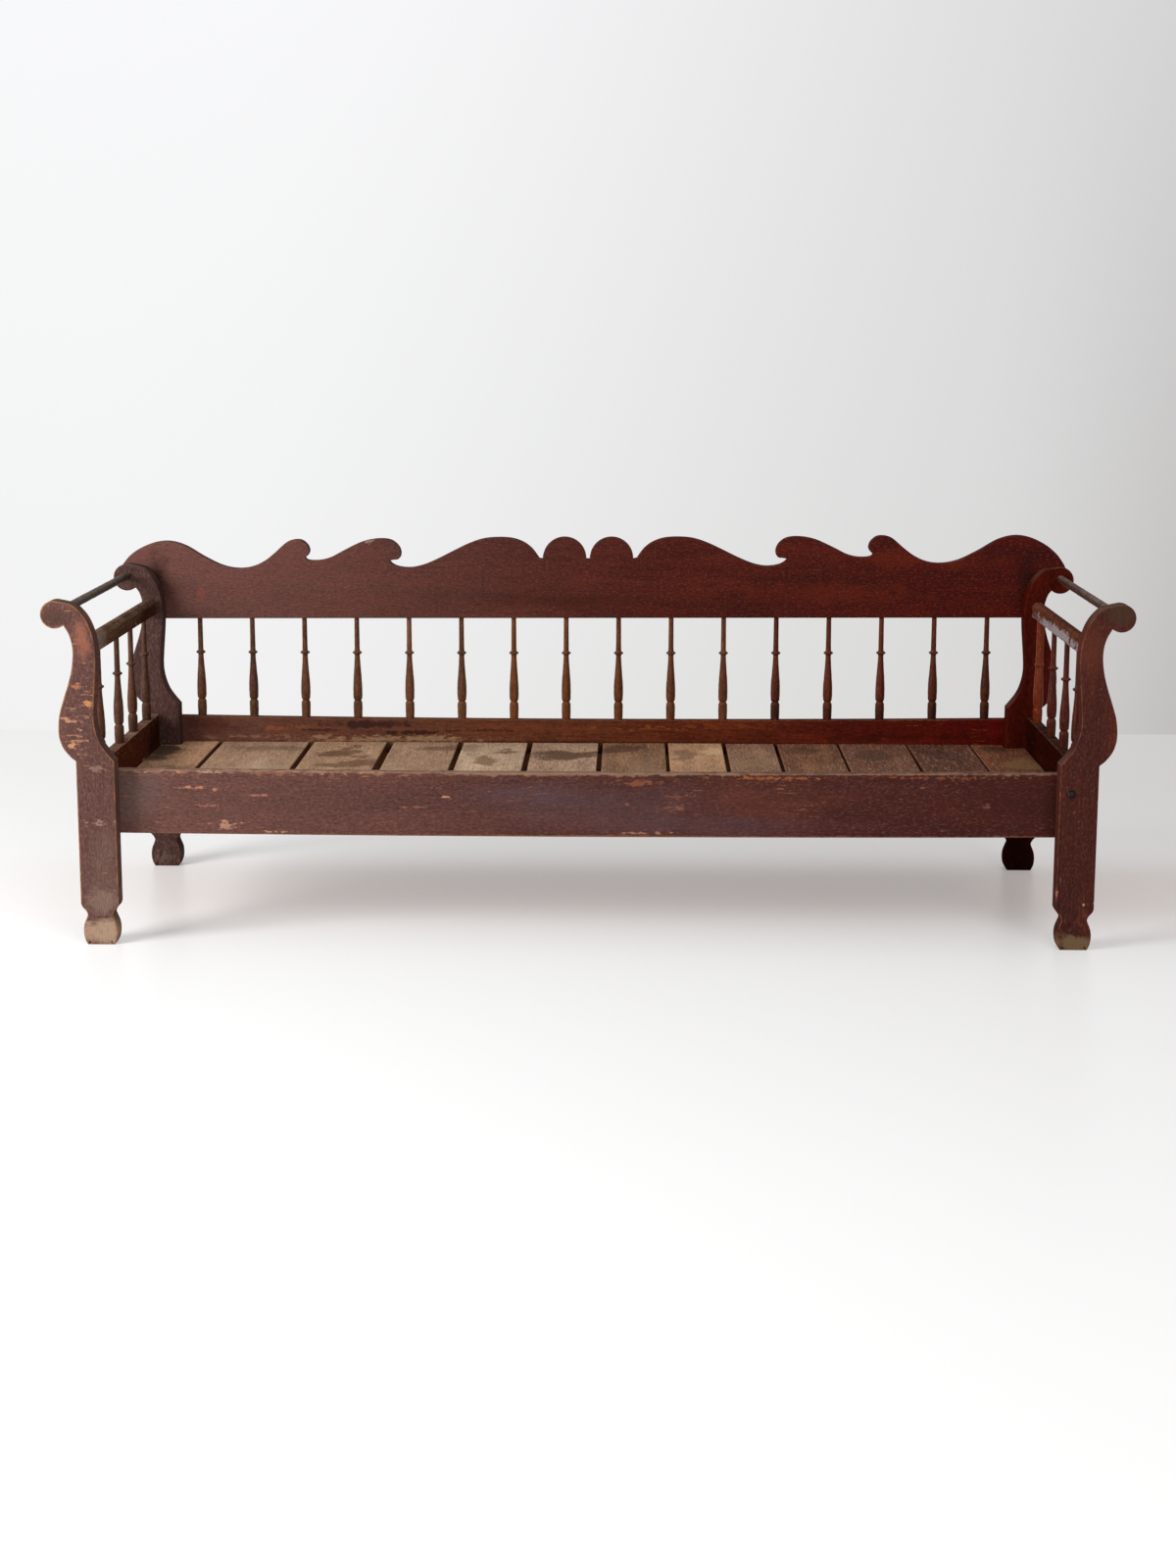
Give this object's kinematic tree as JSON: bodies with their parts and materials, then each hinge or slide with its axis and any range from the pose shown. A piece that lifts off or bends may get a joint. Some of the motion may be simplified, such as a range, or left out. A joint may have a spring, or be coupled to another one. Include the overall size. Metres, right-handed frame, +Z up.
{
  "type": "deacons bench",
  "caption": "Long wooden bench with lyre-scroll board posts, a sawn crest board, a spindle back, spindle arms with a round rod each, and a sunk seat of loose boards.",
  "frame": {"origin": "on the floor, at the middle of the space that the bench takes up", "axes": "+X to the right along the bench as seen from its front, +Y from the front to the back, +Z up"},
  "size_m": [1.887, 0.7046, 0.6659],
  "materials": {
    "stained_wood": "old dark red-brown stain and varnish, satin, worn through at the edges and feet",
    "turned_wood": "glossy red-brown varnish on turned wood",
    "amber_wood": "lighter orange-brown varnish, on a replaced spindle",
    "bare_wood": "unfinished, grey-brown and matte, with stains",
    "dark_iron": "dark oxidised steel"
  },
  "bodies": {
    "root": {"front_left_post": "stained_wood", "front_right_post": "stained_wood", "back_left_post": "stained_wood", "back_right_post": "stained_wood", "crest_board": "stained_wood", "front_rail": "stained_wood", "back_rail": "stained_wood", "left_side_rail": "stained_wood", "right_side_rail": "stained_wood", "left_arm_rail": "stained_wood", "right_arm_rail": "stained_wood", "front_ledger": "stained_wood", "back_ledger": "stained_wood", "left_arm_rod": "turned_wood", "right_arm_rod": "turned_wood", "back_spindle_1": "turned_wood", "back_spindle_2": "turned_wood", "back_spindle_3": "turned_wood", "back_spindle_4": "turned_wood", "back_spindle_5": "turned_wood", "back_spindle_6": "turned_wood", "back_spindle_7": "turned_wood", "back_spindle_8": "turned_wood", "back_spindle_9": "turned_wood", "back_spindle_10": "turned_wood", "back_spindle_11": "turned_wood", "back_spindle_12": "turned_wood", "back_spindle_13": "turned_wood", "back_spindle_14": "turned_wood", "back_spindle_15": "turned_wood", "back_spindle_16": "turned_wood", "left_arm_spindle_1": "turned_wood", "left_arm_spindle_2": "turned_wood", "left_arm_spindle_3": "turned_wood", "left_arm_spindle_4": "turned_wood", "right_arm_spindle_1": "turned_wood", "right_arm_spindle_2": "turned_wood", "right_arm_spindle_3": "turned_wood", "right_arm_spindle_4": "amber_wood", "seat_board_1": "bare_wood", "seat_board_2": "bare_wood", "seat_board_3": "bare_wood", "seat_board_4": "bare_wood", "seat_board_5": "bare_wood", "seat_board_6": "bare_wood", "seat_board_7": "bare_wood", "seat_board_8": "bare_wood", "seat_board_9": "bare_wood", "seat_board_10": "bare_wood", "seat_board_11": "bare_wood", "seat_board_12": "bare_wood", "seat_board_13": "bare_wood", "rail_bolt": "dark_iron", "bolt_washer": "dark_iron", "bolt_nut": "dark_iron", "front_rail_screw": "dark_iron", "back_rail_screw_1": "dark_iron", "back_rail_screw_2": "dark_iron", "crest_screw_1": "dark_iron", "crest_screw_2": "dark_iron"}
  },
  "joints": []
}
